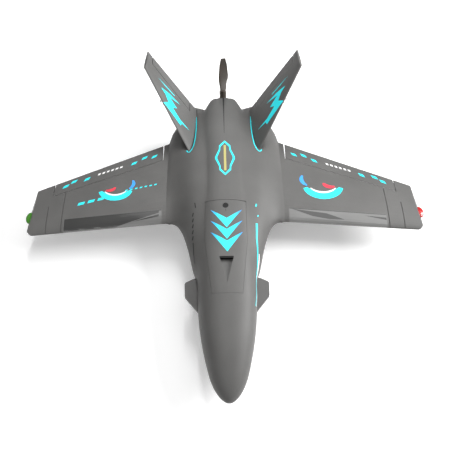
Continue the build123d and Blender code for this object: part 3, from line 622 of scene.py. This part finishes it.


# Print films, with painted shade on the tail, a painted shadow at the latch knob and painted reflections on
# the guards.
def print_and_painted_light(body_skin):
    cyan = print_and_painted_shade_film("film_cyan", CYAN)
    blue = print_and_painted_shade_film("film_blue", BLUE)
    white = print_and_painted_shade_film("film_white", (0.85, 0.85, 0.85))
    # Dark film: dark print marks on the starboard side, and the painted shade on the tail and painted shadow
    # at the latch knob.
    dark = print_and_painted_shade_film("film_dark", (0.03, 0.03, 0.03))
    red = print_and_painted_shade_film("film_red", (0.75, 0.06, 0.09))
    gold = print_and_painted_shade_film("film_gold", (0.46, 0.41, 0.14))
    fade = print_and_painted_shade_film("film_fade", CYAN, far=BLUE, direction="X", span=0.034)
    top = Plan(body_skin)
    hatch_top = Plan(surface([frame["nodes"]["hatch"]]))
    left, middle, right = -31.5, 1.7, 34.0
    darts = []
    for rear, notch, point in ((11, -10.5, -32), (-14.5, -36, -58), (-41, -62, -86)):
        darts.append([(left, rear), (middle, notch), (middle, point)])
        darts.append([(middle, point), (middle, notch), (right, rear)])
    film("chevrons", darts, hatch_top, fade, "hatch")
    lozenge(top, cyan, gold)
    for side, s in SIDES:
        root = [(64.0, 281), (63.2, 262), (63.4, 240), (65.2, 212), (68.6, 190), (73.5, 177), (78.0, 171.5),
                (82.0, 173), (84.5, 179)]
        film(f"fin_root_line_{side}", flipped(ribbon(root, [2.4]), s), top, cyan, "airframe")
        fin_bolt(side, s, cyan)
        aileron_marks(side, s, cyan, white)
    flank = Flank(body_skin)
    stripe = [(-15, 118), (-48, 114), (-79, 107.5), (-114, 101), (-150, 99.5), (-190, 101.5)]
    film("side_stripe", ribbon(stripe, [1.8]), flank, cyan, "airframe")
    below = [(-79, 104.5), (-96, 100.5), (-114, 98), (-150, 96), (-190, 98)]
    film("side_stripe_white", ribbon(below, [1.2, 2.4, 2.4, 2.0, 1.6]), flank, white, "airframe")
    # Painted shade: a dark line down the middle of the tail's top, widest at the rear and narrowing forwards.
    film("tail_painted_shade", ribbon([(0.6, 323.0), (0.6, 270), (0.6, 214)], [4.2, 2.2, 0.8]), top, dark, "airframe")
    # Painted shadow: a thin dark line on the hatch just ahead of the latch knob.
    film("knob_painted_shadow", ribbon([(0.4, 12.0), (0.4, 6.0)], [0.9]), hatch_top, dark, "hatch")
    dashes = [slanted(64.5, 27, 2.6, 6.5, 0.6, 0), slanted(67.4, 2.6, 2.2, 4.0, 0.5, 0)]
    film("side_dashes", dashes, top, cyan, "airframe")
    marks = [slanted(-63.6, 29, 1.8, 12, -0.9, 0)]
    for i in range(5):
        marks.append(slanted(-68.2, 8 - 13.0 * i, 2.2, 8.0, 0.8, 0))
    marks += ribbon([(-67.6, -54), (-66.4, -76), (-64.4, -98)], [1.6, 1.4, 0.6])
    film("side_marks", marks, top, dark, "airframe")
    # Painted reflections on the leading edge guards.
    guard_painted_reflections()
    wing_badge("port", 1, (216, 78), 1.0, cyan, blue, white, red)
    wing_badge("starboard", -1, (-240, 79), 0.84, cyan, blue, white, red)
    starboard_wing = Plan(surface([frame["nodes"]["wing_starboard"]]))
    bars = []
    for i in range(3):
        bars.append(slanted(-312 + 21 * i, 54.5 + 5.5 * i, 14, 6.5, 2.0, 14))
    for i in range(7):
        bars.append(slanted(-216 + 10.5 * i, 86 + 2.2 * i, 5.5, 3.2, 1.0, 12))
    film("wing_bars", bars, starboard_wing, cyan, "airframe")


def guard_painted_reflections():
    """Painted reflections on the leading edge guards: dark gloss wedges, one wide on starboard and two
    slivers on port, and a thin dark line along each back edge.
    """
    tone = (0.035, 0.035, 0.034)
    gloss = solid_material("guard_painted_reflection", tone, 0.22, coat=0.7, grain=300, depth=0.00002)
    # Painted reflections: dark wedges in plan millimetres, laid on each guard.
    painted_reflections = {
        "starboard": [[(-344, 15.5), (-344, -10.0), (-235, -1.0), (-143, 28.5), (-143, 33.5)],
                      [(-143, 25.5), (-200, 9.0), (-143, 20.5)]],
        "port": [[(143, 33.0), (217, 21.0), (255, 6.5), (222, 8.5), (186, 16.0)],
                 [(298, 14.5), (344, 8.8), (344, 3.6)]],
    }
    for side, s in SIDES:
        onto = Plan(surface([frame["nodes"][f"leading_edge_guard_{side}"]]), lift=0.15)
        film(f"guard_painted_reflection_{side}", painted_reflections[side], onto, gloss, "airframe")
        # A thin dark line along each guard's back edge, in the same dark gloss film.
        edge = ribbon([(138 * s, 34.4), (344 * s, 15.9)], [1.3])
        film(f"guard_edge_{side}", edge, onto, gloss, "airframe")


def lozenge(top, ring_material, bar_material):
    """A plain long hexagon ring with a bar inside it."""
    outer = [(0, 48), (12.5, 34), (13, 24), (21.5, 3), (21.5, -3), (13, -24), (12.5, -34), (0, -48)]
    outer += [(-a, b) for a, b in outer[-2:0:-1]]
    inner = [(a * 0.78, b * 0.88) for a, b in outer]
    count = len(outer)
    ring = []
    for i in range(count):
        j = (i + 1) % count
        ring.append([outer[i], outer[j], inner[j], inner[i]])
    centre = (1.2, 144)
    moved = [[(a + centre[0], b + centre[1]) for a, b in quad] for quad in ring]
    film("lozenge_ring", moved, top, ring_material, "airframe")
    bar = [(-2.6, -35), (2.6, -35), (2.6, 35), (-2.6, 35)]
    film("lozenge_bar", [[(a + centre[0], b + centre[1]) for a, b in bar]], top, bar_material, "airframe")


def fin_bolt(side, s, material):
    fin = surface([frame["nodes"][f"fin_{side}"]])
    onto = FinSide(fin, s)
    bolt = [(43.0, 109.0), (43.2, 83.0), (36.5, 47.7), (34.7, 82.0), (19.0, 56.0), (13.0, 68.4), (-4.0, 42.5),
            (-15.0, 10.5), (-11.0, 36.0), (-18.0, 38.0), (12.0, 93.5), (19.2, 82.0), (34.0, 94.0)]
    film(f"fin_bolt_{side}", [bolt], onto, material, "airframe")
    hair = [(63.0, 121.0), (50.5, 67.0), (48.6, 68.5), (55.0, 97.0)]
    film(f"fin_hair_{side}", [hair], onto, material, "airframe")


def aileron_marks(side, s, cyan, white):
    onto = Plan(surface([frame["nodes"][f"aileron_{side}"]]))
    spots = ((160.2, 182.5), (182.5, 179.9), (205.2, 164.6), (308.0, 123.0), (336.5, 117.4), (353.0, 104.4))
    slant = [slanted(a * s, b, 12.0, 6.0, -3.4 * s, -24 * s) for a, b in spots]
    film(f"aileron_diamonds_{side}", slant, onto, cyan, f"aileron_{side}")
    row = []
    for i in range(6):
        share = i / 5
        row.append(slanted((234 + 48 * share) * s, 154.5 - 18.5 * share, 6.0, 4.4, -1.6 * s, -22 * s))
    film(f"aileron_dashes_{side}", row, onto, white, f"aileron_{side}")


def wing_badge(side, s, centre, size, cyan, blue, white, red):
    """A plain swoosh of three curved bands with a spot: no picture and no lettering."""
    onto = Plan(surface([frame["nodes"][f"wing_{side}"]]), lift=0.25)

    def band(radius, width, start, end, shift=(0, 0)):
        outer, inner = [], []
        for i in range(13):
            share = i / 12
            angle = math.radians(start + (end - start) * share)
            half = width / 2 * math.sin(math.pi * (0.08 + 0.84 * share)) ** 0.7
            for row, r in ((outer, radius + half), (inner, radius - half)):
                row.append((r * math.cos(angle) + shift[0], r * math.sin(angle) * 0.8 + shift[1]))
        quads = [[outer[i], outer[i + 1], inner[i + 1], inner[i]] for i in range(12)]
        return [[(centre[0] + a * size * s, centre[1] + b * size) for a, b in quad] for quad in quads]

    film(f"badge_cyan_{side}", band(44, 24, 205, 335, (0, 22)), onto, cyan, "airframe")
    above = Plan(surface([frame["nodes"][f"wing_{side}"]]), lift=0.45)
    film(f"badge_white_{side}", band(34, 6, 215, 325, (0, 22)), above, white, "airframe")
    film(f"badge_blue_{side}", band(26, 9, 150, 235, (-20, 30)), above, blue, "airframe")
    film(f"badge_red_{side}", band(16, 11, 190, 300, (18, 22)), above, red, "airframe")


# ---- build ----
add_camera()
add_floor()
dress_cad()
FUSELAGE = fuselage()
# Painted shade inside the inlet's mouth.
inlet_painted_shade()
print_and_painted_light(surface([FUSELAGE]))

world = bpy.data.worlds.new("studio")
bpy.context.scene.world = world
world.use_nodes = True
world.node_tree.nodes["Background"].inputs["Color"].default_value = (1, 1, 1, 1)
world.node_tree.nodes["Background"].inputs["Strength"].default_value = WORLD_STRENGTH
for light in LIGHTS:
    area_light(*light)

bpy.context.scene.view_settings.view_transform = "Standard"
